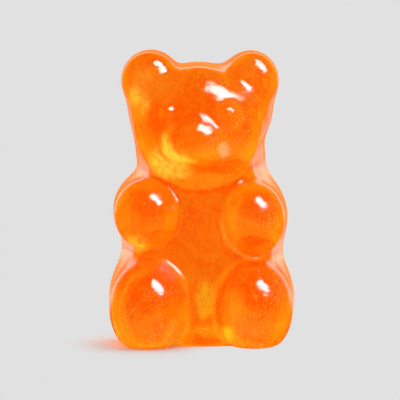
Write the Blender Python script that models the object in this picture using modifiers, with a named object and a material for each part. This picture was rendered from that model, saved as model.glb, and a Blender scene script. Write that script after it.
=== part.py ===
"""Gummy bear: one moulded piece of orange fruit gum that stands on its feet.

The gum is cast lying on its back in an open mould, so every limb is a lobe that is
domed towards the front (-Y) and runs straight back, a little wider with depth, to
the flat back (+Y).  There the setting gum leaves a shallow dish with a raised rim.
The surface is a field: the lobes' distances are joined by smooth unions, and cut by
the dished back and by the floor.  A voxel remesh of the plain lobes gives the faces,
and each vertex is then moved onto the field.

Lengths in the tables are millimetres.  X runs to the right as seen from the front,
Z up, and the origin is on the floor at the middle of the bear's box.
"""

from collections import namedtuple

import bmesh
import bpy
import numpy as np
from mathutils import Matrix

MM = 0.001  # metres

# The whole bear
HEIGHT = 22.0
WIDTH = 14.2
DEPTH = 10.7  # to the back plane; the rounded rim ends a little short of it
SIDE = WIDTH / 2
FRONT = -DEPTH / 2
BACK = DEPTH / 2

# The mould
SHOULDER_EASE = 0.2  # part of a dome's depth over which it turns into a straight side
RIM_ROUNDING = 1.1
MENISCUS_DEPTH = 0.45
MENISCUS_REACH = 1.3  # how far the raised rim reaches in from the outline
SOLE_ROUNDING = 0.9
SOLE_PRESS = 0.02  # what is this near the floor is laid flat on it

# Each lobe's middle (x, z) and half sizes as seen from the front, the depths at which its
# dome starts and ends, how much it widens per millimetre behind the dome, and the size of
# the fillet that joins it to the lobes before it.  The two sides differ a little, and the
# muzzle points a little to the bear's right.
Lobe = namedtuple("Lobe", "x z half_width half_height shoulder front flare blend")
LOBES = {
    "torso": Lobe(0.26, 7.2, 5.0, 8.6, -0.5, FRONT + 2.6, 0.21, 0),
    "left leg": Lobe(3.35 - SIDE, 2.95, 2.88, 3.55, -2.2, FRONT, 0.03, 2.1),
    "right leg": Lobe(SIDE - 3.08, 2.95, 2.88, 3.55, -2.2, FRONT, 0.05, 1.5),
    "left hip": Lobe(-3.43, 4.1, 2.8, 2.6, 3.0, -0.8, 0.03, 1.2),
    "right hip": Lobe(3.65, 4.2, 2.85, 2.6, 3.0, -0.8, 0.03, 1.2),
    "left arm": Lobe(-3.84, 9.85, 2.46, 2.65, -1.5, FRONT + 1.4, 0.03, 1.0),
    "right arm": Lobe(3.92, 9.45, 2.44, 2.8, -1.5, FRONT + 1.4, 0.05, 1.0),
    "left shoulder": Lobe(-3.35, 10.4, 2.5, 2.4, 3.0, -0.6, 0.03, 1.2),
    "right shoulder": Lobe(3.2, 10.35, 2.55, 2.5, 3.0, -0.6, 0.03, 1.2),
    "neck": Lobe(0.14, 14.2, 4.6, 2.2, 3.0, -2.4, 0.04, 1.6),
    "head": Lobe(-0.1, 16.15, 4.68, 4.6, -1.5, FRONT + 1.1, 0.03, 1.2),
    "crown": Lobe(-0.05, 16.87, 3.8, 3.7, 2.0, -1.6, 0.09, 1.2),
    "left cheek": Lobe(-3.12, 18.0, 2.05, 2.2, -0.3, -3.0, 0.03, 1.8),
    "right cheek": Lobe(3.28, 18.1, 2.2, 3.1, 1.2, -2.4, 0.04, 1.6),
    "left ear": Lobe(-3.63, 19.66, 2.07, 2.13, -1.1, FRONT + 2.9, 0.035, 0.9),
    "right ear": Lobe(3.9, 19.68, 1.92, 2.07, -0.8, FRONT + 3.2, 0.035, 0.8),
    "muzzle": Lobe(-0.4, 15.4, 2.35, 1.75, FRONT + 2.2, FRONT + 0.1, 0.0, 1.35),
    "left eye": Lobe(-2.3, 17.35, 0.65, 0.65, FRONT + 2.1, FRONT + 1.22, 0.0, 0.4),
    "right eye": Lobe(2.0, 17.05, 1.1, 1.1, FRONT + 1.8, FRONT + 0.9, 0.0, 0.55),
}

# The mesh
VOXEL = 0.56
DOME_SEGMENTS = 32
RELAX_ROUNDS = 10
PROJECT_STEPS = 4
GRADIENT_STEP = 0.01

# The gum
GUM_COLOUR = (1.0, 0.19, 0.005, 1.0)
GUM_ROUGHNESS = 0.15


def smooth_union(a, b, radius):
    """The nearer of two distances, with a fillet where they are alike."""
    near = np.clip(1 - np.abs(a - b) / radius, 0, None)
    return np.minimum(a, b) - radius * near**3 / 6


def smooth_cut(a, b, radius):
    """What lies inside both surfaces, with a rounded edge where they meet."""
    return -smooth_union(-a, -b, radius)


def lobe_distance(points, lobe):
    """Distance to a dome that faces forwards and widens steadily behind its shoulder."""
    dome = lobe.shoulder - lobe.front
    along = points[:, 1] - lobe.shoulder
    eased = np.sqrt(along**2 + (SHOULDER_EASE * dome) ** 2)
    ahead, behind = (along - eased) / 2, (along + eased) / 2
    reach = np.stack(
        [
            lobe.half_width + lobe.flare * behind,
            np.full(len(points), dome),
            lobe.half_height + lobe.flare * behind,
        ],
        axis=1,
    )
    offset = np.stack([points[:, 0] - lobe.x, ahead, points[:, 2] - lobe.z], axis=1)
    scaled = np.linalg.norm(offset / reach, axis=1)
    slope = np.linalg.norm(offset / reach**2, axis=1)
    return scaled * (scaled - 1) / np.maximum(slope, 1e-6)


def lobes_distance(points):
    """Distance to all the lobes, each blended into those before it."""
    first, *others = LOBES.values()
    distance = lobe_distance(points, first)
    for lobe in others:
        distance = smooth_union(distance, lobe_distance(points, lobe), lobe.blend)
    return distance


def bear_distance(points):
    """Distance to the bear's surface: below zero inside the gum."""
    body = lobes_distance(points)
    flat = points.copy()
    flat[:, 1] = BACK
    inside = np.minimum(lobes_distance(flat), 0)
    dish = MENISCUS_DEPTH * (1 - np.exp(inside / MENISCUS_REACH))
    body = smooth_cut(body, points[:, 1] - (BACK - dish), RIM_ROUNDING)
    return smooth_cut(body, -points[:, 2], SOLE_ROUNDING)


def gradient(points):
    """Slope of the field at each point, by central differences."""
    columns = []
    for axis in range(3):
        step = np.zeros(3)
        step[axis] = GRADIENT_STEP
        rise = bear_distance(points + step) - bear_distance(points - step)
        columns.append(rise / (2 * GRADIENT_STEP))
    return np.stack(columns, axis=1)


def onto_surface(points):
    """The points, moved along the field's slope until they lie on the surface."""
    for _ in range(PROJECT_STEPS):
        slope = gradient(points)
        steepness = np.maximum((slope**2).sum(axis=1), 1e-3)
        points = points - slope * (bear_distance(points) / steepness)[:, None]
    return points


def add_lobe(bm, lobe):
    """A plain lobe: an ellipsoid for the dome and a drafted cylinder behind it."""
    length = BACK - lobe.shoulder
    widest = 1 + lobe.flare * length / lobe.half_width
    to_shoulder = Matrix.Translation((lobe.x, lobe.shoulder, lobe.z))
    spread = Matrix.Diagonal((lobe.half_width, lobe.shoulder - lobe.front, lobe.half_height, 1))
    bmesh.ops.create_uvsphere(
        bm, u_segments=DOME_SEGMENTS, v_segments=DOME_SEGMENTS // 2, radius=1, matrix=to_shoulder @ spread
    )
    to_middle = Matrix.Translation((lobe.x, lobe.shoulder + length / 2, lobe.z))
    stretch = Matrix.Diagonal((lobe.half_width, 1, lobe.half_height, 1))
    backwards = Matrix.Rotation(np.pi / 2, 4, "X")
    bmesh.ops.create_cone(
        bm,
        cap_ends=True,
        segments=DOME_SEGMENTS,
        radius1=widest,
        radius2=1,
        depth=length,
        matrix=to_middle @ stretch @ backwards,
    )


def rough_mesh():
    """One closed skin of even quads round the plain lobes."""
    bm = bmesh.new()
    for lobe in LOBES.values():
        add_lobe(bm, lobe)
    mesh = bpy.data.meshes.new("rough_bear")
    bm.to_mesh(mesh)
    bm.free()
    rough = bpy.data.objects.new("rough_bear", mesh)
    bpy.context.scene.collection.objects.link(rough)
    remesh = rough.modifiers.new("Remesh", "REMESH")
    remesh.mode = "VOXEL"
    remesh.voxel_size = VOXEL
    evaluated = rough.evaluated_get(bpy.context.evaluated_depsgraph_get())
    skin = bpy.data.meshes.new_from_object(evaluated)
    bpy.data.objects.remove(rough)
    bpy.data.meshes.remove(mesh)
    return skin


def relaxed(points, edges):
    """The points, evened out along the surface and put back on it."""
    neighbours = np.bincount(edges.ravel(), minlength=len(points))[:, None]
    for _ in range(RELAX_ROUNDS):
        total = np.zeros_like(points)
        np.add.at(total, edges[:, 0], points[edges[:, 1]])
        np.add.at(total, edges[:, 1], points[edges[:, 0]])
        points = onto_surface((points + total / neighbours) / 2)
    return points


def standing(points):
    """The points, with the sole flat on the floor and the middle of their box over the origin."""
    low, high = points.min(axis=0), points.max(axis=0)
    points = points - [(low[0] + high[0]) / 2, (low[1] + high[1]) / 2, 0]
    points[points[:, 2] < SOLE_PRESS, 2] = 0
    return points


def bear_mesh():
    """The bear's skin in metres."""
    mesh = rough_mesh()
    mesh.name = "gummy_bear"
    points = np.empty(len(mesh.vertices) * 3)
    mesh.vertices.foreach_get("co", points)
    edges = np.empty(len(mesh.edges) * 2, dtype=np.int32)
    mesh.edges.foreach_get("vertices", edges)
    points = relaxed(onto_surface(points.reshape(-1, 3)), edges.reshape(-1, 2))
    mesh.vertices.foreach_set("co", (standing(points) * MM).ravel())
    mesh.update()
    mesh.shade_smooth()
    return mesh


def gum_material():
    """Clear orange gum."""
    material = bpy.data.materials.new("orange_gum")
    material.use_nodes = True
    shader = material.node_tree.nodes["Principled BSDF"]
    shader.inputs["Base Color"].default_value = GUM_COLOUR
    shader.inputs["Roughness"].default_value = GUM_ROUGHNESS
    shader.inputs["Metallic"].default_value = 0.0
    return material


def main():
    for leftover in list(bpy.data.objects):
        bpy.data.objects.remove(leftover)
    collection = bpy.data.collections.new("Gummy bear")
    bpy.context.scene.collection.children.link(collection)
    bear = bpy.data.objects.new("gummy_bear", bear_mesh())
    bear.data.materials.append(gum_material())
    collection.objects.link(bear)


main()
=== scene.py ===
"""A gummy bear of clear orange fruit gum on a pale seamless floor, seen from the front.

The gum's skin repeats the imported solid's own field, meshed finely enough for gloss:
lobes that are domed towards the front (-Y) and run straight back to the flat, slightly
dished back (+Y), joined by fillets and cut by the floor.  Its tables are in millimetres,
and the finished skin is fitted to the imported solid's box.  Everything else is in metres.
"""

from collections import namedtuple

import bmesh
import bpy
import numpy as np
from mathutils import Matrix, Vector


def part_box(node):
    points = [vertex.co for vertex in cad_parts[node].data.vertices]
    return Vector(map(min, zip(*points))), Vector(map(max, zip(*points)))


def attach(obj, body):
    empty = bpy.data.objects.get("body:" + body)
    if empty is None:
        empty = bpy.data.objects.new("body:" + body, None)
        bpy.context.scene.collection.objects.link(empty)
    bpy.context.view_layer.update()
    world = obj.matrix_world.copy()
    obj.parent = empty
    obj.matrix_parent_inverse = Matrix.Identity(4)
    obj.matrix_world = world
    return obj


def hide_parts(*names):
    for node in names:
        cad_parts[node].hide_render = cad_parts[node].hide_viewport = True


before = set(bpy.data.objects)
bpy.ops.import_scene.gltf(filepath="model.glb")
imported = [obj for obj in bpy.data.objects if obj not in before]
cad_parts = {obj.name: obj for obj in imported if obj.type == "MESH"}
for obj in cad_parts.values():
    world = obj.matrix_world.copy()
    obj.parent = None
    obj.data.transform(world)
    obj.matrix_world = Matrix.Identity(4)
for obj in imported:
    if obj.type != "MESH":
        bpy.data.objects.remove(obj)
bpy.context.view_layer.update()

MM = 0.001  # metres

# ---------------------------------------------------------------- the bear's field (mm)
WIDTH = 14.2
DEPTH = 10.7
SIDE = WIDTH / 2
FRONT = -DEPTH / 2
BACK = DEPTH / 2

SHOULDER_EASE = 0.2  # part of a dome's depth over which it turns into a straight side
RIM_ROUNDING = 1.1
MENISCUS_DEPTH = 0.45
MENISCUS_REACH = 1.3
SOLE_ROUNDING = 0.9

Lobe = namedtuple("Lobe", "x z half_width half_height shoulder front flare blend")
LOBES = {
    "torso": Lobe(0.26, 7.2, 5.0, 8.6, -0.5, FRONT + 2.6, 0.21, 0),
    "left leg": Lobe(3.35 - SIDE, 2.95, 2.88, 3.55, -2.2, FRONT, 0.03, 2.1),
    "right leg": Lobe(SIDE - 3.08, 2.95, 2.88, 3.55, -2.2, FRONT, 0.05, 1.5),
    "left hip": Lobe(-3.43, 4.1, 2.8, 2.6, 3.0, -0.8, 0.03, 1.2),
    "right hip": Lobe(3.65, 4.2, 2.85, 2.6, 3.0, -0.8, 0.03, 1.2),
    "left arm": Lobe(-3.84, 9.85, 2.46, 2.65, -1.5, FRONT + 1.4, 0.03, 1.0),
    "right arm": Lobe(3.92, 9.45, 2.44, 2.8, -1.5, FRONT + 1.4, 0.05, 1.0),
    "left shoulder": Lobe(-3.35, 10.4, 2.5, 2.4, 3.0, -0.6, 0.03, 1.2),
    "right shoulder": Lobe(3.2, 10.35, 2.55, 2.5, 3.0, -0.6, 0.03, 1.2),
    "neck": Lobe(0.14, 14.2, 4.6, 2.2, 3.0, -2.4, 0.04, 1.6),
    "head": Lobe(-0.1, 16.15, 4.68, 4.6, -1.5, FRONT + 1.1, 0.03, 1.2),
    "crown": Lobe(-0.05, 16.87, 3.8, 3.7, 2.0, -1.6, 0.09, 1.2),
    "left cheek": Lobe(-3.12, 18.0, 2.05, 2.2, -0.3, -3.0, 0.03, 1.8),
    "right cheek": Lobe(3.28, 18.1, 2.2, 3.1, 1.2, -2.4, 0.04, 1.6),
    "left ear": Lobe(-3.63, 19.66, 2.07, 2.13, -1.1, FRONT + 2.9, 0.035, 0.9),
    "right ear": Lobe(3.9, 19.68, 1.92, 2.07, -0.8, FRONT + 3.2, 0.035, 0.8),
    "muzzle": Lobe(-0.4, 15.4, 2.35, 1.75, FRONT + 2.2, FRONT + 0.1, 0.0, 1.35),
    "left eye": Lobe(-2.3, 17.35, 0.65, 0.65, FRONT + 2.1, FRONT + 1.22, 0.0, 0.4),
    "right eye": Lobe(2.0, 17.05, 1.1, 1.1, FRONT + 1.8, FRONT + 0.9, 0.0, 0.55),
}

VOXEL = 0.14
DOME_SEGMENTS = 48
RELAX_ROUNDS = 3
PROJECT_STEPS = 2
GRADIENT_STEP = 0.01
LEAST_SLOPE = 1e-6
LEAST_STEEPNESS = 1e-3


def smooth_union(a, b, radius):
    """The nearer of two distances, with a fillet where they are alike."""
    near = np.clip(1 - np.abs(a - b) / radius, 0, None)
    return np.minimum(a, b) - radius * near**3 / 6


def smooth_cut(a, b, radius):
    """What lies inside both surfaces, with a rounded edge where they meet."""
    return -smooth_union(-a, -b, radius)


def lobe_distance(points, lobe):
    """Distance to a dome that faces forwards and widens steadily behind its shoulder."""
    dome = lobe.shoulder - lobe.front
    along = points[:, 1] - lobe.shoulder
    eased = np.sqrt(along**2 + (SHOULDER_EASE * dome) ** 2)
    ahead, behind = (along - eased) / 2, (along + eased) / 2
    reach = np.stack(
        [
            lobe.half_width + lobe.flare * behind,
            np.full(len(points), dome),
            lobe.half_height + lobe.flare * behind,
        ],
        axis=1,
    )
    offset = np.stack([points[:, 0] - lobe.x, ahead, points[:, 2] - lobe.z], axis=1)
    scaled = np.linalg.norm(offset / reach, axis=1)
    slope = np.linalg.norm(offset / reach**2, axis=1)
    return scaled * (scaled - 1) / np.maximum(slope, LEAST_SLOPE)


def lobes_distance(points):
    """Distance to all the lobes, each blended into those before it."""
    first, *others = LOBES.values()
    distance = lobe_distance(points, first)
    for lobe in others:
        distance = smooth_union(distance, lobe_distance(points, lobe), lobe.blend)
    return distance


def bear_distance(points):
    """Distance to the bear's surface: below zero inside the gum."""
    body = lobes_distance(points)
    flat = points.copy()
    flat[:, 1] = BACK
    inside = np.minimum(lobes_distance(flat), 0)
    dish = MENISCUS_DEPTH * (1 - np.exp(inside / MENISCUS_REACH))
    body = smooth_cut(body, points[:, 1] - (BACK - dish), RIM_ROUNDING)
    return smooth_cut(body, -points[:, 2], SOLE_ROUNDING)


def gradient(points):
    """Slope of the field at each point, by central differences."""
    columns = []
    for axis in range(3):
        step = np.zeros(3)
        step[axis] = GRADIENT_STEP
        rise = bear_distance(points + step) - bear_distance(points - step)
        columns.append(rise / (2 * GRADIENT_STEP))
    return np.stack(columns, axis=1)


def onto_surface(points):
    """The points, moved along the field's slope until they lie on the surface."""
    for _ in range(PROJECT_STEPS):
        slope = gradient(points)
        steepness = np.maximum((slope**2).sum(axis=1), LEAST_STEEPNESS)
        points = points - slope * (bear_distance(points) / steepness)[:, None]
    return points


def add_lobe(bm, lobe):
    """A plain lobe: an ellipsoid for the dome and a drafted cylinder behind it."""
    length = BACK - lobe.shoulder
    widest = 1 + lobe.flare * length / lobe.half_width
    to_shoulder = Matrix.Translation((lobe.x, lobe.shoulder, lobe.z))
    spread = Matrix.Diagonal((lobe.half_width, lobe.shoulder - lobe.front, lobe.half_height, 1))
    bmesh.ops.create_uvsphere(
        bm, u_segments=DOME_SEGMENTS, v_segments=DOME_SEGMENTS // 2, radius=1, matrix=to_shoulder @ spread
    )
    to_middle = Matrix.Translation((lobe.x, lobe.shoulder + length / 2, lobe.z))
    stretch = Matrix.Diagonal((lobe.half_width, 1, lobe.half_height, 1))
    backwards = Matrix.Rotation(np.pi / 2, 4, "X")
    bmesh.ops.create_cone(
        bm,
        cap_ends=True,
        segments=DOME_SEGMENTS,
        radius1=widest,
        radius2=1,
        depth=length,
        matrix=to_middle @ stretch @ backwards,
    )


def rough_mesh():
    """One closed skin of even quads round the plain lobes."""
    bm = bmesh.new()
    for lobe in LOBES.values():
        add_lobe(bm, lobe)
    mesh = bpy.data.meshes.new("rough_bear")
    bm.to_mesh(mesh)
    bm.free()
    rough = bpy.data.objects.new("rough_bear", mesh)
    bpy.context.scene.collection.objects.link(rough)
    remesh = rough.modifiers.new("Remesh", "REMESH")
    remesh.mode = "VOXEL"
    remesh.voxel_size = VOXEL
    evaluated = rough.evaluated_get(bpy.context.evaluated_depsgraph_get())
    skin = bpy.data.meshes.new_from_object(evaluated)
    bpy.data.objects.remove(rough)
    bpy.data.meshes.remove(mesh)
    return skin


def relaxed(points, edges):
    """The points, evened out along the surface and put back on it."""
    neighbours = np.bincount(edges.ravel(), minlength=len(points))[:, None]
    for _ in range(RELAX_ROUNDS):
        total = np.zeros_like(points)
        np.add.at(total, edges[:, 0], points[edges[:, 1]])
        np.add.at(total, edges[:, 1], points[edges[:, 0]])
        points = onto_surface((points + total / neighbours) / 2)
    return points


def fitted(points, low, high):
    """The points, with their box laid on the box from low to high."""
    own_low, own_high = points.min(axis=0), points.max(axis=0)
    return low + (points - own_low) / (own_high - own_low) * (high - low)


def gum_skin():
    """The bear's skin, in metres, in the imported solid's place."""
    mesh = rough_mesh()
    points = np.empty(len(mesh.vertices) * 3)
    mesh.vertices.foreach_get("co", points)
    edges = np.empty(len(mesh.edges) * 2, dtype=np.int32)
    mesh.edges.foreach_get("vertices", edges)
    points = relaxed(onto_surface(points.reshape(-1, 3)), edges.reshape(-1, 2))
    low, high = (np.array(corner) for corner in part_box("gummy_bear"))
    mesh.vertices.foreach_set("co", fitted(points, low, high).ravel())
    mesh.update()
    mesh.shade_smooth()
    skin = bpy.data.objects.new("gum_skin", mesh)
    bpy.context.scene.collection.objects.link(skin)
    return skin


# ---------------------------------------------------------------- node helpers
def new_material(name):
    """A material with nodes, its tree and its Principled shader."""
    material = bpy.data.materials.new(name)
    material.use_nodes = True
    return material, material.node_tree, material.node_tree.nodes["Principled BSDF"]


def linear(value):
    """The linear value of an sRGB value from 0 to 255."""
    value /= 255
    return value / 12.92 if value <= 0.04045 else ((value + 0.055) / 1.055) ** 2.4


def link(tree, source, socket):
    """Feeds a socket from another socket, or sets it."""
    if isinstance(source, bpy.types.NodeSocket):
        tree.links.new(source, socket)
    else:
        socket.default_value = source


def ramp(tree, source, start, end, low, high):
    """A smooth step from low to high as the source goes from start to end."""
    node = tree.nodes.new("ShaderNodeMapRange")
    node.interpolation_type = "SMOOTHSTEP"
    for name, value in (("From Min", start), ("From Max", end), ("To Min", low), ("To Max", high)):
        node.inputs[name].default_value = value
    tree.links.new(source, node.inputs["Value"])
    return node.outputs["Result"]


def chosen(tree, flag, otherwise, value):
    """One number where the flag is set, and another elsewhere."""
    node = tree.nodes.new("ShaderNodeMix")
    tree.links.new(flag, node.inputs["Factor"])
    link(tree, otherwise, node.inputs["A"])
    link(tree, value, node.inputs["B"])
    return node.outputs["Result"]


# ---------------------------------------------------------------- the gum
# The part of the light that passes clear into the gum, and isn't scattered at its skin.
GUM_CLARITY = 0.55
GUM_ROUGHNESS = 0.05
GUM_IOR = 1.4
SCATTER_RADIUS = (1.0, 0.3, 0.1)
SCATTER_SCALE = 0.003
ABSORPTION_COLOUR = (0.995, 0.8, 0.2, 1)
ABSORPTION_DENSITY = 150  # per metre

PLAIN_ORANGE = (1.0, 0.3, 0.004, 1)
# The deep and light oranges are the gum's random tone in the veins, and also painted shade and painted
# light in the lobes' marks. Burnt orange is painted shade, yellow and amber are painted glows, and pale
# orange is painted pale light.
DEEP_ORANGE_AND_PAINTED_SHADE = (1.0, 0.15, 0.001, 1)
PAINTED_SHADE_ORANGE = (0.88, 0.07, 0.001, 1)
LIGHT_ORANGE_AND_PAINTED_LIGHT = (1.0, 0.36, 0.014, 1)
PAINTED_GLOW_YELLOW = (1.0, 0.82, 0.09, 1)
PAINTED_GLOW_AMBER = (1.0, 0.72, 0.02, 1)
PAINTED_PALE_LIGHT = (1.0, 0.55, 0.26, 1)
PAINTED_WALL_LIGHT = (1.0, 0.48, 0.12, 1)

# Veins of deeper and lighter gum.  Each kind is a noise with a scale per metre, a detail and a
# distortion; the gum turns deep and light over the given spans of the noise, by up to the strength.
Veins = namedtuple("Veins", "scale detail distortion deep light strength")
SWIRLS = Veins(260, 4.0, 2.0, (0.3, 0.55), (0.5, 0.8), 1.0)
THREADS = Veins(700, 5.0, 4.0, (0.25, 0.45), (0.5, 0.75), 0.5)
STROKES = Veins(3000, 3.0, 1.5, (0.32, 0.52), (0.56, 0.76), 0.55)
STROKES_STRETCH = (1.0, 1.0, 0.25)  # drawn out upwards

# The relief of the skin: fine grain, and faint scratches that run sideways.
GRAIN_SCALE = 4000  # per metre
SCRATCH_SCALE = 5000
SCRATCH_STRETCH = (0.12, 0.5, 1.0)
SCRATCH_TURN = np.pi / 4
SKIN_RELIEF = 0.015 * MM

# The light and shade that the light leaves in a lobe, as seen from the front, painted into the gum's
# colour as marks.  Each is placed from the lobe's middle in parts of its half sizes, to the left and
# down.  A blob is a soft spot with a half width and half height, and its softness is the part of them
# over which it fades out; an arc is part of a ring, strongest in the given direction.
Blob = namedtuple("Blob", "left down width height strength softness", defaults=[1.0])
Arc = namedtuple("Arc", "left down radius thickness strength")

# A round lobe works as a lens: the key light comes from the upper right and gathers at the
# lower left, and the far outline shows again as a ring inside.  All of it is painted: painted shade
# in a line round the top and over the upper part, painted light over the lower part, and a painted
# light ring inside to the left.
LENSES = ("left arm", "right arm", "left leg", "right leg")
PAINTED_LENS_MARKS = (
    (DEEP_ORANGE_AND_PAINTED_SHADE, Arc(0.0, -1.0, 1.08, 0.1, 0.7)),
    (LIGHT_ORANGE_AND_PAINTED_LIGHT, Blob(0.1, 0.35, 0.85, 0.5, 0.8)),
    (DEEP_ORANGE_AND_PAINTED_SHADE, Blob(-0.1, -0.42, 0.95, 0.5, 0.75, 0.35)),
    (LIGHT_ORANGE_AND_PAINTED_LIGHT, Arc(1.0, -0.1, 0.66, 0.12, 0.8)),
)
# Each lobe's own painted marks: painted glows where the key gathers, painted shade such as under the
# muzzle and along the bottom between the legs, painted pale light on the cheek, and painted rings.
PAINTED_LOBE_MARKS = {
    "head": (
        (DEEP_ORANGE_AND_PAINTED_SHADE, Blob(0.1, -0.35, 0.7, 0.6, 0.75)),
        (DEEP_ORANGE_AND_PAINTED_SHADE, Blob(-0.65, 0.0, 0.45, 0.4, 0.8)),
        (LIGHT_ORANGE_AND_PAINTED_LIGHT, Blob(0.55, -0.7, 0.4, 0.35, 0.8)),
        (LIGHT_ORANGE_AND_PAINTED_LIGHT, Blob(-0.6, 0.36, 0.5, 0.3, 1.0)),
        (PAINTED_PALE_LIGHT, Blob(-0.38, 0.32, 0.13, 0.17, 0.9, 0.6)),
        (LIGHT_ORANGE_AND_PAINTED_LIGHT, Blob(-0.1, 0.82, 0.7, 0.18, 1.0)),
        (DEEP_ORANGE_AND_PAINTED_SHADE, Blob(-0.35, 0.60, 0.62, 0.13, 0.9, 0.4)),
        (LIGHT_ORANGE_AND_PAINTED_LIGHT, Arc(0.0, 1.0, 0.95, 0.05, 0.9)),
        (DEEP_ORANGE_AND_PAINTED_SHADE, Arc(0.0, 1.0, 1.02, 0.05, 0.9)),
        (DEEP_ORANGE_AND_PAINTED_SHADE, Blob(0.66, -0.05, 0.22, 0.5, 1.0)),
        (PAINTED_GLOW_YELLOW, Blob(0.86, -0.42, 0.12, 0.3, 0.7)),
        (LIGHT_ORANGE_AND_PAINTED_LIGHT, Blob(0.46, -0.05, 0.12, 0.45, 0.7)),
        (PAINTED_GLOW_YELLOW, Blob(0.52, 0.52, 0.38, 0.34, 1.0, 0.6)),
        (PAINTED_GLOW_YELLOW, Blob(0.3, 0.72, 0.24, 0.14, 0.9)),
    ),
    "muzzle": (
        (LIGHT_ORANGE_AND_PAINTED_LIGHT, Blob(-0.15, 0.45, 0.75, 0.5, 0.8)),
        (LIGHT_ORANGE_AND_PAINTED_LIGHT, Blob(0.35, -0.45, 0.35, 0.35, 0.7)),
        (PAINTED_GLOW_YELLOW, Arc(0.8, 0.6, 0.95, 0.16, 1.0)),
        (DEEP_ORANGE_AND_PAINTED_SHADE, Arc(0.4, -0.9, 0.80, 0.07, 0.9)),
        (DEEP_ORANGE_AND_PAINTED_SHADE, Arc(0.4, -0.9, 1.02, 0.08, 0.8)),
        (DEEP_ORANGE_AND_PAINTED_SHADE, Arc(1.0, 0.1, 0.72, 0.12, 1.0)),
        (DEEP_ORANGE_AND_PAINTED_SHADE, Arc(1.0, 0.1, 1.22, 0.12, 0.9)),
    ),
    "left ear": (
        (LIGHT_ORANGE_AND_PAINTED_LIGHT, Blob(0.1, 0.0, 0.9, 0.8, 1.0, 0.7)),
        (PAINTED_GLOW_YELLOW, Blob(0.3, -0.1, 0.5, 0.5, 0.35)),
        (DEEP_ORANGE_AND_PAINTED_SHADE, Arc(0.4, -0.9, 0.95, 0.12, 0.6)),
        (PAINTED_GLOW_YELLOW, Blob(0.62, 0.5, 0.34, 0.6, 1.0)),
    ),
    "right ear": (
        (LIGHT_ORANGE_AND_PAINTED_LIGHT, Blob(0.3, -0.3, 0.6, 0.5, 0.9)),
        (DEEP_ORANGE_AND_PAINTED_SHADE, Blob(-0.85, 0.0, 0.25, 0.6, 0.6)),
    ),
    "left arm": (
        (DEEP_ORANGE_AND_PAINTED_SHADE, Blob(-0.35, 0.62, 0.55, 0.26, 0.8, 0.4)),
        (LIGHT_ORANGE_AND_PAINTED_LIGHT, Arc(-0.8, 0.6, 0.93, 0.07, 0.8)),
        (PAINTED_GLOW_YELLOW, Blob(0.36, 0.8, 0.4, 0.36, 1.0, 0.8)),
        (DEEP_ORANGE_AND_PAINTED_SHADE, Blob(0.24, 0.68, 0.14, 0.12, 0.8, 0.5)),
    ),
    "right arm": (
        (LIGHT_ORANGE_AND_PAINTED_LIGHT, Blob(0.35, 0.0, 0.5, 0.5, 0.7)),
        (DEEP_ORANGE_AND_PAINTED_SHADE, Blob(0.02, 0.68, 0.75, 0.36, 1.0, 0.35)),
        (PAINTED_GLOW_YELLOW, Arc(0.6, 0.8, 1.0, 0.13, 0.6)),
    ),
    "left leg": (
        (PAINTED_SHADE_ORANGE, Blob(0.1, -0.4, 0.9, 0.5, 0.8, 0.6)),
        (LIGHT_ORANGE_AND_PAINTED_LIGHT, Arc(0.8, -0.6, 0.78, 0.1, 0.9)),
        (LIGHT_ORANGE_AND_PAINTED_LIGHT, Arc(-0.9, 0.1, 0.95, 0.08, 0.5)),
        (PAINTED_GLOW_YELLOW, Arc(0.8, 0.5, 1.0, 0.06, 0.5)),
    ),
    "right leg": (
        (PAINTED_SHADE_ORANGE, Blob(-0.05, -0.4, 0.9, 0.45, 0.8, 0.6)),
        (LIGHT_ORANGE_AND_PAINTED_LIGHT, Blob(0.55, -0.1, 0.34, 0.5, 0.9)),
        (DEEP_ORANGE_AND_PAINTED_SHADE, Arc(0.95, -0.2, 0.96, 0.09, 1.0)),
        (LIGHT_ORANGE_AND_PAINTED_LIGHT, Arc(1.0, -0.3, 1.07, 0.06, 0.8)),
        (PAINTED_GLOW_AMBER, Blob(0.74, 0.5, 0.26, 0.26, 1.0, 0.8)),
    ),
    "torso": (
        (LIGHT_ORANGE_AND_PAINTED_LIGHT, Blob(0.0, -0.15, 0.7, 0.6, 0.4)),
        (LIGHT_ORANGE_AND_PAINTED_LIGHT, Blob(-0.04, -0.42, 0.4, 0.07, 0.5)),
        (PAINTED_GLOW_AMBER, Blob(0.0, 0.42, 0.19, 0.24, 1.0, 0.7)),
        (DEEP_ORANGE_AND_PAINTED_SHADE, Blob(0.0, 0.8, 0.4, 0.06, 0.6, 0.5)),
        (PAINTED_GLOW_AMBER, Blob(0.0, 0.69, 0.34, 0.09, 0.8)),
        (DEEP_ORANGE_AND_PAINTED_SHADE, Blob(0.23, 0.42, 0.05, 0.3, 0.9)),
        (DEEP_ORANGE_AND_PAINTED_SHADE, Blob(-0.2, 0.45, 0.06, 0.3, 0.9)),
    ),
}
STREAKS = (900, 3.0, 3.0)  # the noise that breaks up the marks: scale per metre, detail and distortion
STREAKS_SPAN = (0.3, 0.65)
STREAKS_STRENGTH = (0.45, 1.1)
MARKS_END = (-1.5, 1.5)  # mm along Y, over which the marks fade towards the back
ARC_REACH = 0.45  # cosine to an arc's direction where it has faded out
WARP = 0.35  # mm, how far the marks are pulled out of shape
WARP_SCALE = 500  # per metre
WARP_DISTORTION = 0.8

# The side walls are painted paler behind the domes, as painted light where the light slips through along
# them.
WALLS_START = (-0.5, 2.5)  # mm along Y
WALL_LEAN = (0.25, 0.6)  # the normal's part along Y, over which the paleness fades
WALL_PALENESS = 0.6


def noise(tree, place, scale, detail=2.0, distortion=0.0):
    """A noise texture, with the scale per metre."""
    node = tree.nodes.new("ShaderNodeTexNoise")
    node.inputs["Scale"].default_value = scale
    node.inputs["Detail"].default_value = detail
    node.inputs["Distortion"].default_value = distortion
    tree.links.new(place, node.inputs["Vector"])
    return node


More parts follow.
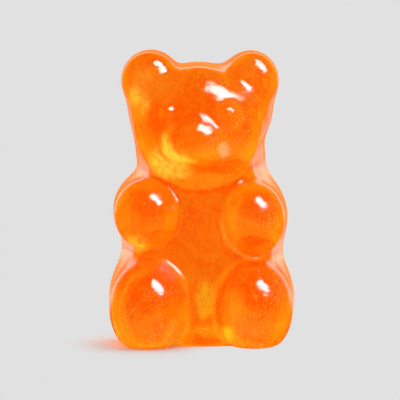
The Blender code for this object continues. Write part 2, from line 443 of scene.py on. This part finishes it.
def maths(tree, operation, a, b=0.0):
    node = tree.nodes.new("ShaderNodeMath")
    node.operation = operation
    link(tree, a, node.inputs[0])
    link(tree, b, node.inputs[1])
    return node.outputs["Value"]


def vector_maths(tree, operation, *inputs):
    node = tree.nodes.new("ShaderNodeVectorMath")
    node.operation = operation
    for source, socket in zip(inputs, node.inputs):
        link(tree, source, socket)
    return node.outputs["Value" if operation in ("LENGTH", "DOT_PRODUCT") else "Vector"]


def mixed(tree, share, a, b):
    """Two colours mixed, the second by its share."""
    node = tree.nodes.new("ShaderNodeMix")
    node.data_type = "RGBA"
    link(tree, share, node.inputs[0])
    link(tree, a, node.inputs[6])
    link(tree, b, node.inputs[7])
    return node.outputs[2]


def warped(tree, place):
    """The place, moved about a little, so that marks made from it look drawn by hand."""
    wander = noise(tree, place, WARP_SCALE, distortion=WARP_DISTORTION).outputs["Color"]
    centred = vector_maths(tree, "SUBTRACT", wander, (0.5, 0.5, 0.5))
    return vector_maths(tree, "MULTIPLY_ADD", centred, (2 * WARP * MM,) * 3, place)


def in_lobe_units(tree, place, lobe, left, down, width, height):
    """The place from a point of the lobe, over a width and a height in the lobe's half sizes."""
    x, z = lobe.x - left * lobe.half_width, lobe.z - down * lobe.half_height
    over = Vector((1 / (width * lobe.half_width), 0, 1 / (height * lobe.half_height)))
    return vector_maths(tree, "MULTIPLY_ADD", place, over / MM, (-x * over.x, 0, -z * over.z))


def mark_share(tree, place, lobe, mark):
    """How strong a painted light or shade mark is at each place."""
    if isinstance(mark, Blob):
        offset = in_lobe_units(tree, place, lobe, mark.left, mark.down, mark.width, mark.height)
        away = vector_maths(tree, "LENGTH", offset)
        return ramp(tree, away, 1.0 - mark.softness, 1.0, mark.strength, 0.0)
    offset = in_lobe_units(tree, place, lobe, 0, 0, 1, 1)
    away = vector_maths(tree, "LENGTH", offset)
    off_ring = maths(tree, "ABSOLUTE", maths(tree, "SUBTRACT", away, mark.radius))
    direction = Vector((-mark.left, 0, -mark.down)).normalized() / mark.radius
    facing = ramp(tree, vector_maths(tree, "DOT_PRODUCT", offset, direction), ARC_REACH, 1.0, 0.0, 1.0)
    return maths(tree, "MULTIPLY", ramp(tree, off_ring, 0.0, mark.thickness, mark.strength, 0.0), facing)


def with_painted_light(tree, place, colour, strength):
    """The colour with all the lobes' painted light and shade laid over it as marks."""
    for name, lobe in LOBES.items():
        marks = PAINTED_LENS_MARKS if name in LENSES else ()
        for tone, mark in marks + PAINTED_LOBE_MARKS.get(name, ()):
            share = maths(tree, "MULTIPLY", mark_share(tree, place, lobe, mark), strength)
            colour = mixed(tree, share, colour, tone)
    return colour


def parts(tree, vector):
    """The X, Y and Z of a vector."""
    node = tree.nodes.new("ShaderNodeSeparateXYZ")
    tree.links.new(vector, node.inputs["Vector"])
    return node.outputs


def stretched(tree, place, scale, turn=0.0):
    """The place, scaled so that a noise made from it runs in streaks along the least scaled axis.

    The turn about Y comes after the scale, so it picks another part of the noise and leaves the
    streaks' direction alone.
    """
    node = tree.nodes.new("ShaderNodeMapping")
    node.inputs["Rotation"].default_value = (0, turn, 0)
    node.inputs["Scale"].default_value = scale
    tree.links.new(place, node.inputs["Vector"])
    return node.outputs["Vector"]


def veined(tree, place, colour, veins):
    """The colour, deeper where the veins' noise is low and lighter where it is high."""
    level = noise(tree, place, veins.scale, veins.detail, veins.distortion).outputs["Fac"]
    colour = mixed(tree, ramp(tree, level, *veins.deep, veins.strength, 0.0), colour, DEEP_ORANGE_AND_PAINTED_SHADE)
    return mixed(tree, ramp(tree, level, *veins.light, 0.0, veins.strength), colour, LIGHT_ORANGE_AND_PAINTED_LIGHT)


def gum_colour(tree, place, face):
    """Veined orange, with the lobes' painted light and shade in front and painted pale light on the walls
    behind.
    """
    orange = veined(tree, place, PLAIN_ORANGE, SWIRLS)
    orange = veined(tree, place, orange, THREADS)
    orange = veined(tree, stretched(tree, place, STROKES_STRETCH), orange, STROKES)
    along = parts(tree, place)["Y"]
    in_front = ramp(tree, along, MARKS_END[0] * MM, MARKS_END[1] * MM, 1.0, 0.0)
    streaks = ramp(tree, noise(tree, place, *STREAKS).outputs["Fac"], *STREAKS_SPAN, *STREAKS_STRENGTH)
    # painted light and shade from the lobes' marks
    orange = with_painted_light(tree, warped(tree, place), orange, maths(tree, "MULTIPLY", streaks, in_front))
    # painted pale light on the upright walls behind the domes
    lean = maths(tree, "ABSOLUTE", parts(tree, face.outputs["Normal"])["Y"])
    upright = ramp(tree, lean, *WALL_LEAN, WALL_PALENESS, 0.0)
    behind = ramp(tree, along, WALLS_START[0] * MM, WALLS_START[1] * MM, 0.0, 1.0)
    return mixed(tree, maths(tree, "MULTIPLY", upright, behind), orange, PAINTED_WALL_LIGHT)


def skin_normal(tree, place):
    """The normal of a finely pebbled skin with faint scratches."""
    grain = noise(tree, place, GRAIN_SCALE).outputs["Fac"]
    scratched = stretched(tree, place, SCRATCH_STRETCH, SCRATCH_TURN)
    scratch = noise(tree, scratched, SCRATCH_SCALE).outputs["Fac"]
    bump = tree.nodes.new("ShaderNodeBump")
    bump.inputs["Strength"].default_value = 1.0
    bump.inputs["Distance"].default_value = SKIN_RELIEF
    tree.links.new(maths(tree, "ADD", grain, scratch), bump.inputs["Height"])
    return bump.outputs["Normal"]


def gum_material():
    material, tree, shader = new_material("clear_orange_gum")
    shader.inputs["Roughness"].default_value = GUM_ROUGHNESS
    shader.inputs["IOR"].default_value = GUM_IOR
    shader.inputs["Subsurface Weight"].default_value = 1.0
    shader.inputs["Subsurface Radius"].default_value = SCATTER_RADIUS
    shader.inputs["Subsurface Scale"].default_value = SCATTER_SCALE
    place = tree.nodes.new("ShaderNodeTexCoord").outputs["Object"]
    face = tree.nodes.new("ShaderNodeNewGeometry")
    tree.links.new(gum_colour(tree, place, face), shader.inputs["Base Color"])
    tree.links.new(skin_normal(tree, place), shader.inputs["Normal"])
    # light that is already inside leaves clear
    clarity = maths(tree, "MAXIMUM", face.outputs["Backfacing"], GUM_CLARITY)
    tree.links.new(clarity, shader.inputs["Transmission Weight"])
    absorption = tree.nodes.new("ShaderNodeVolumeAbsorption")
    absorption.inputs["Color"].default_value = ABSORPTION_COLOUR
    absorption.inputs["Density"].default_value = ABSORPTION_DENSITY
    tree.links.new(absorption.outputs["Volume"], tree.nodes["Material Output"].inputs["Volume"])
    return material


# ---------------------------------------------------------------- the specks
# Tiny pale bubbles lie in the skin.  They are sparse everywhere, and crowd round the places
# given as a lobe, a point in its half sizes to the left and down, and a reach in mm.
SPECK_TRIES = 300000
SPECK_BASE = 0.008  # share of the tries kept away from the crowded places
SPECK_RADII = (0.011, 0.036)  # mm
SPECK_FLATNESS = 0.6  # a speck's thickness over its width
SPECK_LOWEST = 0.3  # mm over the floor
SPECK_COLOUR = (1.0, 0.42, 0.1, 1)
SPECK_ROUGHNESS = 0.3
SPECK_SEED = 7
CROWD_FADE = 1.5  # how fast a crowd thins out from its middle
CROWD_DEPTH = 1.0  # mm behind a lobe's shoulder, where its crowds end
Crowd = namedtuple("Crowd", "lobe left down reach share")
CROWDS = (
    Crowd("left leg", -0.25, 0.45, 2.8, 0.4),
    Crowd("left leg", -0.2, -0.3, 2.0, 0.35),
    Crowd("left leg", 0.4, 0.1, 2.4, 0.15),
    Crowd("right leg", 0.2, 0.45, 2.8, 0.4),
    Crowd("right leg", -0.45, -0.4, 2.4, 0.5),
    Crowd("left arm", -0.3, -0.2, 2.0, 0.15),
    Crowd("right arm", -0.3, -0.2, 2.2, 0.45),
    Crowd("right ear", 0.3, 0.5, 2.2, 0.5),
    Crowd("right ear", -0.1, -0.4, 1.4, 0.4),
    Crowd("head", -0.6, -0.1, 2.4, 0.3),
    Crowd("head", -0.2, -0.68, 2.0, 0.3),
    Crowd("left leg", -0.15, -0.45, 1.4, 0.4),
    Crowd("muzzle", -0.6, 0.1, 1.8, 0.4),
)


def crowding(points):
    """The share of specks kept at each point, which is in mm."""
    share = np.full(len(points), SPECK_BASE)
    for crowd in CROWDS:
        lobe = LOBES[crowd.lobe]
        across = points[:, 0] - lobe.x + crowd.left * lobe.half_width
        up = points[:, 2] - lobe.z + crowd.down * lobe.half_height
        near = np.exp(-(across**2 + up**2) / (crowd.reach / 2) ** 2)
        in_front = points[:, 1] < lobe.shoulder + CROWD_DEPTH
        share = np.maximum(share, crowd.share * near**CROWD_FADE * in_front)
    return share


def corners_and_normals(mesh):
    """Where the mesh's vertices lie, and which way they face."""
    corners = np.empty(len(mesh.vertices) * 3)
    mesh.vertices.foreach_get("co", corners)
    normals = np.empty(len(mesh.vertices) * 3)
    mesh.vertices.foreach_get("normal", normals)
    return corners.reshape(-1, 3), normals.reshape(-1, 3)


def small_ball():
    """The corners and faces of a ball of radius 1."""
    bm = bmesh.new()
    bmesh.ops.create_icosphere(bm, subdivisions=1, radius=1)
    corners = np.array([v.co[:] for v in bm.verts])
    faces = np.array([[v.index for v in f.verts] for f in bm.faces])
    bm.free()
    return corners, faces


def add_specks(skin):
    """All the specks as one mesh, each a low dome that stands in the skin."""
    places, normals = corners_and_normals(skin.data)
    chance = np.random.default_rng(SPECK_SEED)
    picked = chance.integers(0, len(places), SPECK_TRIES)
    picked = np.unique(picked[chance.random(SPECK_TRIES) < crowding(places[picked] / MM)])
    picked = picked[places[picked, 2] > SPECK_LOWEST * MM]
    low, high = SPECK_RADII
    radii = (low + (high - low) * chance.random(len(picked)) ** 2) * MM
    corners, faces = small_ball()
    # flattened along the normal
    up = normals[picked][:, None, :]
    heights = (corners[None] * up).sum(axis=2, keepdims=True)
    domes = corners[None] - (1 - SPECK_FLATNESS) * heights * up
    points = places[picked][:, None, :] + domes * radii[:, None, None]
    faces = faces[None] + (np.arange(len(picked)) * len(corners))[:, None, None]
    specks = bpy.data.meshes.new("gum_specks")
    specks.from_pydata(points.reshape(-1, 3), [], faces.reshape(-1, 3))
    specks.shade_smooth()
    specks.materials.append(speck_material())
    piece = bpy.data.objects.new("gum_specks", specks)
    bpy.context.scene.collection.objects.link(piece)
    return piece


def speck_material():
    material, tree, shader = new_material("pale_bubbles")
    shader.inputs["Base Color"].default_value = SPECK_COLOUR
    shader.inputs["Roughness"].default_value = SPECK_ROUGHNESS
    shader.inputs["IOR"].default_value = GUM_IOR
    return material


# ---------------------------------------------------------------- the stage
BACKDROP = linear(225)
WHITE = (1.0, 1.0, 1.0, 1)
FLOOR_RADIUS = 0.5
FLOOR_SEGMENTS = 96

# The floor's shading shows near the left foot, and fades into the even backdrop round it.
SHADE_MIDDLE = (-0.0045, 0.002, 0)
SHADE_SQUASH = (1.0, 0.45, 0.0)
SHADE_START = 0.002
SHADE_END = 0.006

# The studio differs with the kind of ray that meets it, but all of it is fixed in the room.
# The fill, which lights the gum and the floor, is strongest in one direction.
FILL_DIRECTION = Vector((0.62, -0.25, 0.74)).normalized()
FILL_START = -0.3  # cosine to the fill's direction where it begins
FILL_LOW = 0.75
FILL_HIGH = 1.25

# What the gum mirrors goes by a direction's part along Y: -1 is straight in front of the bear, and
# 1 straight behind it.  It is deep orange in front and at the sides, which leaves the gum's own
# colour alone, then a pale ring, and orange again straight behind, which shows along the outline.
GLOSS_FRONT = 0.9
GLOSS_BACK = 1.5
GLOSS_SPAN = (-0.1, 0.9)  # where the front's brightness turns into the back's
GLOSS_TINT_FRONT = (1.0, 0.3, 0.01, 1)
GLOSS_TINT = (1.0, 0.84, 0.7, 1)
GLOSS_TINT_BEHIND = (0.8, 0.2, 0.04, 1)
FRONT_END = (0.68, 0.86)  # where the front's tint turns into the ring's
BEHIND = (0.93, 0.99)  # where the ring's tint turns into the one straight behind
FLOOR_IN_GLOSS = 0.5  # in front of the bear and under it
FLOOR_BEHIND_IN_GLOSS = 0.8
MIRROR_HEIGHT = 0.008  # metres over the floor, from where a direction to the floor is taken

# What shows through the gum goes by the part along Y too.
CLEAR_FRONT = 1.0
CLEAR_BACK = 1.35
CLEAR_SPAN = (-0.4, 0.4)  # where the front's brightness turns into the back's
FLOOR_THROUGH_GUM = 1.05
FLOOR_UNDER_GUM = 1.5  # as the light scattered in the gum meets it


def fill_light(direction):
    """How bright the fill is in a direction."""
    part = (direction.dot(FILL_DIRECTION) - FILL_START) / (1 - FILL_START)
    part = min(max(part, 0), 1)
    return FILL_LOW + (FILL_HIGH - FILL_LOW) * part**2 * (3 - 2 * part)


def light_on_floor():
    """The fill's mean brightness over the sky, as a level floor gathers it."""
    rings, turns = 24, 48
    total = 0
    for ring in range(rings):
        out = np.sqrt((ring + 0.5) / rings)
        for turn in range(turns):
            angle = 2 * np.pi * turn / turns
            total += fill_light(Vector((out * np.cos(angle), out * np.sin(angle), np.sqrt(1 - out**2))))
    return total / (rings * turns)


def surroundings_tint(tree, ray, along):
    """The surroundings' colour: white, and tinted by the part along Y where the gum mirrors them."""
    tint = mixed(tree, ramp(tree, along, *FRONT_END, 0.0, 1.0), GLOSS_TINT_FRONT, GLOSS_TINT)
    tint = mixed(tree, ramp(tree, along, *BEHIND, 0.0, 1.0), tint, GLOSS_TINT_BEHIND)
    return mixed(tree, ray["Is Glossy Ray"], WHITE, tint)


def floor_glow(tree, place, ray):
    """The floor's light away from its shading, as each kind of ray meets it."""
    from_bear = vector_maths(tree, "SUBTRACT", place, (0, 0, MIRROR_HEIGHT))
    along = parts(tree, vector_maths(tree, "NORMALIZE", from_bear))["Y"]
    mirrored = ramp(tree, along, *FRONT_END, FLOOR_IN_GLOSS, FLOOR_BEHIND_IN_GLOSS)
    far = ramp(tree, along, *BEHIND, 0.0, GLOSS_BACK - FLOOR_BEHIND_IN_GLOSS)
    mirrored = maths(tree, "ADD", mirrored, far)
    brightness = chosen(tree, ray["Is Diffuse Ray"], BACKDROP, FLOOR_UNDER_GUM)
    brightness = chosen(tree, ray["Is Glossy Ray"], brightness, mirrored)
    brightness = chosen(tree, ray["Is Transmission Ray"], brightness, FLOOR_THROUGH_GUM)
    glow = tree.nodes.new("ShaderNodeEmission")
    tree.links.new(surroundings_tint(tree, ray, along), glow.inputs["Color"])
    tree.links.new(brightness, glow.inputs["Strength"])
    return glow.outputs["Emission"]


def floor_material():
    material, tree, shader = new_material("pale_floor")
    # a white that the fill lights to the backdrop's brightness
    white = BACKDROP / light_on_floor()
    shader.inputs["Base Color"].default_value = (white, white, white, 1)
    shader.inputs["Roughness"].default_value = 1.0
    shader.inputs["Specular IOR Level"].default_value = 0.0
    place = tree.nodes.new("ShaderNodeTexCoord").outputs["Object"]
    offset = vector_maths(tree, "SUBTRACT", place, SHADE_MIDDLE)
    distance = vector_maths(tree, "LENGTH", vector_maths(tree, "MULTIPLY", offset, SHADE_SQUASH))
    fade = ramp(tree, distance, SHADE_START, SHADE_END, 0, 1)
    ray = tree.nodes.new("ShaderNodeLightPath").outputs
    mix = tree.nodes.new("ShaderNodeMixShader")
    # only the camera sees the floor's shading
    tree.links.new(chosen(tree, ray["Is Camera Ray"], 1.0, fade), mix.inputs["Fac"])
    tree.links.new(shader.outputs["BSDF"], mix.inputs[1])
    tree.links.new(floor_glow(tree, place, ray), mix.inputs[2])
    tree.links.new(mix.outputs["Shader"], tree.nodes["Material Output"].inputs["Surface"])
    return material


def add_floor(height):
    bm = bmesh.new()
    bmesh.ops.create_circle(bm, cap_ends=True, segments=FLOOR_SEGMENTS, radius=FLOOR_RADIUS)
    mesh = bpy.data.meshes.new("floor")
    bm.to_mesh(mesh)
    bm.free()
    mesh.materials.append(floor_material())
    floor = bpy.data.objects.new("floor", mesh)
    floor.location.z = height
    bpy.context.scene.collection.objects.link(floor)


def add_world():
    """The surroundings beyond the floor."""
    world = bpy.data.worlds.new("studio")
    bpy.context.scene.world = world
    world.use_nodes = True
    world.cycles.sampling_method = "NONE"
    tree = world.node_tree
    direction = tree.nodes.new("ShaderNodeTexCoord").outputs["Generated"]
    along = parts(tree, direction)["Y"]
    towards_fill = vector_maths(tree, "DOT_PRODUCT", direction, FILL_DIRECTION)
    fill = ramp(tree, towards_fill, FILL_START, 1.0, FILL_LOW, FILL_HIGH)
    gloss = ramp(tree, along, *GLOSS_SPAN, GLOSS_FRONT, GLOSS_BACK)
    clear = ramp(tree, along, *CLEAR_SPAN, CLEAR_FRONT, CLEAR_BACK)
    ray = tree.nodes.new("ShaderNodeLightPath").outputs
    brightness = chosen(tree, ray["Is Glossy Ray"], fill, gloss)
    brightness = chosen(tree, ray["Is Transmission Ray"], brightness, clear)
    brightness = chosen(tree, ray["Is Camera Ray"], brightness, BACKDROP)
    background = tree.nodes["Background"]
    tree.links.new(brightness, background.inputs["Strength"])
    tree.links.new(surroundings_tint(tree, ray, along), background.inputs["Color"])


KEY_DIRECTION = Vector((0.48, -0.5, 0.70)).normalized()
KEY_ALONG = Vector((0.72, 0, -0.70))  # the way the strip runs, before it's turned to face the bear
KEY_DISTANCE = 0.25
KEY_SIZE = (0.17, 0.09)
KEY_POWER = 1.5


def add_key(aim):
    """A strip light that shows in the gloss alone."""
    data = bpy.data.lights.new("key", "AREA")
    data.shape = "RECTANGLE"
    data.size, data.size_y = KEY_SIZE
    data.energy = KEY_POWER
    light = bpy.data.objects.new("key", data)
    light.location = aim + KEY_DIRECTION * KEY_DISTANCE
    along = (KEY_ALONG - KEY_DIRECTION * KEY_ALONG.dot(KEY_DIRECTION)).normalized()
    across = KEY_DIRECTION.cross(along)
    light.rotation_euler = Matrix((along, across, KEY_DIRECTION)).transposed().to_euler()
    light.visible_diffuse = False
    light.visible_transmission = False
    light.visible_volume_scatter = False
    bpy.context.scene.collection.objects.link(light)


# ---------------------------------------------------------------- the camera
CAMERA_DISTANCE = 0.23
CAMERA_RISE = np.radians(2.5)
SENSOR = 36.0
FRAME_TO_BEAR = 1.349  # the frame's height over the bear's
AIM_BELOW_MIDDLE = 0.0079  # how far under the bear's middle the camera aims, over the bear's height
CAMERA_LEFT = 0.000135  # metres, how far to the left of the bear's middle it stands
CLIP_START = 0.01


def add_camera(low, high):
    middle = (low + high) / 2
    tall = high.z - low.z
    back = Vector((0, -np.cos(CAMERA_RISE), np.sin(CAMERA_RISE)))
    up = Vector((0, np.sin(CAMERA_RISE), np.cos(CAMERA_RISE)))
    data = bpy.data.cameras.new("camera")
    data.sensor_width = SENSOR
    data.lens = SENSOR * CAMERA_DISTANCE / (FRAME_TO_BEAR * tall)
    data.clip_start = CLIP_START
    camera = bpy.data.objects.new("camera", data)
    camera.location = middle + back * CAMERA_DISTANCE - up * AIM_BELOW_MIDDLE * tall
    camera.location.x -= CAMERA_LEFT
    camera.rotation_euler = (np.pi / 2 - CAMERA_RISE, 0, 0)
    bpy.context.scene.collection.objects.link(camera)
    bpy.context.scene.camera = camera


# ---------------------------------------------------------------- the scene
INNER_BOUNCES = 12  # light turns round inside the gum many times before it leaves


def main():
    scene = bpy.context.scene
    low, high = (Vector(corner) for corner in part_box("gummy_bear"))
    skin = gum_skin()
    skin.data.materials.append(gum_material())
    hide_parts("gummy_bear")
    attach(skin, "root")
    specks = add_specks(skin)
    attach(specks, "root")
    add_floor(low.z)
    add_world()
    add_key((low + high) / 2)
    add_camera(low, high)
    scene.view_settings.view_transform = "Standard"
    scene.cycles.glossy_bounces = INNER_BOUNCES


main()
